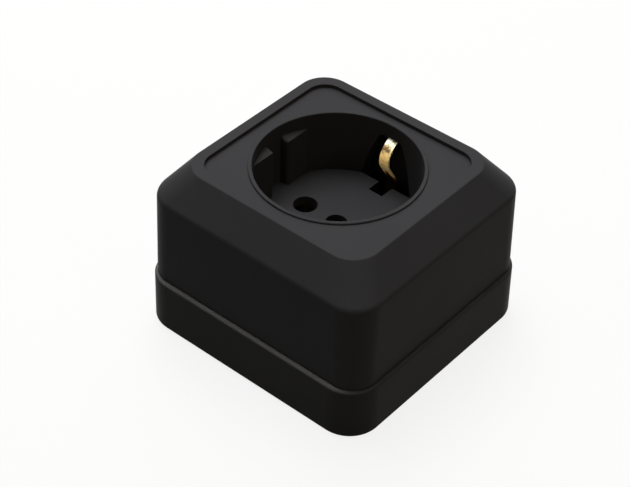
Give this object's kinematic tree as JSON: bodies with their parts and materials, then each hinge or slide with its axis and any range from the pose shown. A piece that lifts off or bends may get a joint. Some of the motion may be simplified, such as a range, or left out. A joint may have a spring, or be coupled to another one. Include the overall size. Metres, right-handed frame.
{
  "type": "wall socket",
  "caption": "Surface-mounted earthed wall socket in black plastic: round plug well with pin holes, keying lugs and sprung side earth clips, on a shallow base tray.",
  "frame": {"origin": "centre of the base tray's back plane, which lies on the wall", "axes": "+Z out of the wall, along the way the plug leaves; +X from one pin hole to the other; +Y from one earth clip to the other, towards the side cable knock-out"},
  "size_m": [0.0664, 0.0646, 0.045],
  "materials": {
    "cover_plastic": "fine satin moulded, black",
    "base_plastic": "fine satin moulded, black",
    "carrier_plastic": "plain moulded, dark grey",
    "contact_brass": "bright pressed strip",
    "terminal_brass": "machined, satin",
    "clip_brass": "polished by use, slightly stained",
    "plated_steel": "zinc plated",
    "black_steel": "black oxide, so that it does not show in the hole",
    "spring_steel": "dull spring steel"
  },
  "bodies": {
    "socket": {"cover": "cover_plastic", "base_tray": "base_plastic", "contact_carrier": "carrier_plastic", "live_contact_left": "contact_brass", "live_contact_right": "contact_brass", "contact_spring_left": "spring_steel", "contact_spring_right": "spring_steel", "terminal_cage_left": "terminal_brass", "terminal_cage_right": "terminal_brass", "wire_clamp_left": "plated_steel", "wire_clamp_right": "plated_steel", "live_terminal_screws": "plated_steel", "earth_bridge": "plated_steel", "earth_clip_rivets": "terminal_brass", "earth_clamp_plate": "plated_steel", "earth_terminal_screw": "plated_steel", "earth_terminal_nut": "terminal_brass", "carrier_screws": "plated_steel", "cover_screw": "black_steel", "cover_screw_insert": "terminal_brass"},
    "clip_lower": {"earth_clip_lower": "clip_brass"},
    "clip_upper": {"earth_clip_upper": "clip_brass"}
  },
  "joints": [
    {"name": "clip_lower_flex", "type": "hinge", "parent": "socket", "child": "clip_lower", "pos_m": [0, -0.0206, 0.01975], "axis": [1, 0, 0], "range_deg": [0, 5], "stiffness_Nm_per_rad": 0.6},
    {"name": "clip_upper_flex", "type": "hinge", "parent": "socket", "child": "clip_upper", "pos_m": [0, 0.0206, 0.01975], "axis": [-1, 0, 0], "range_deg": [0, 5], "stiffness_Nm_per_rad": 0.6}
  ]
}
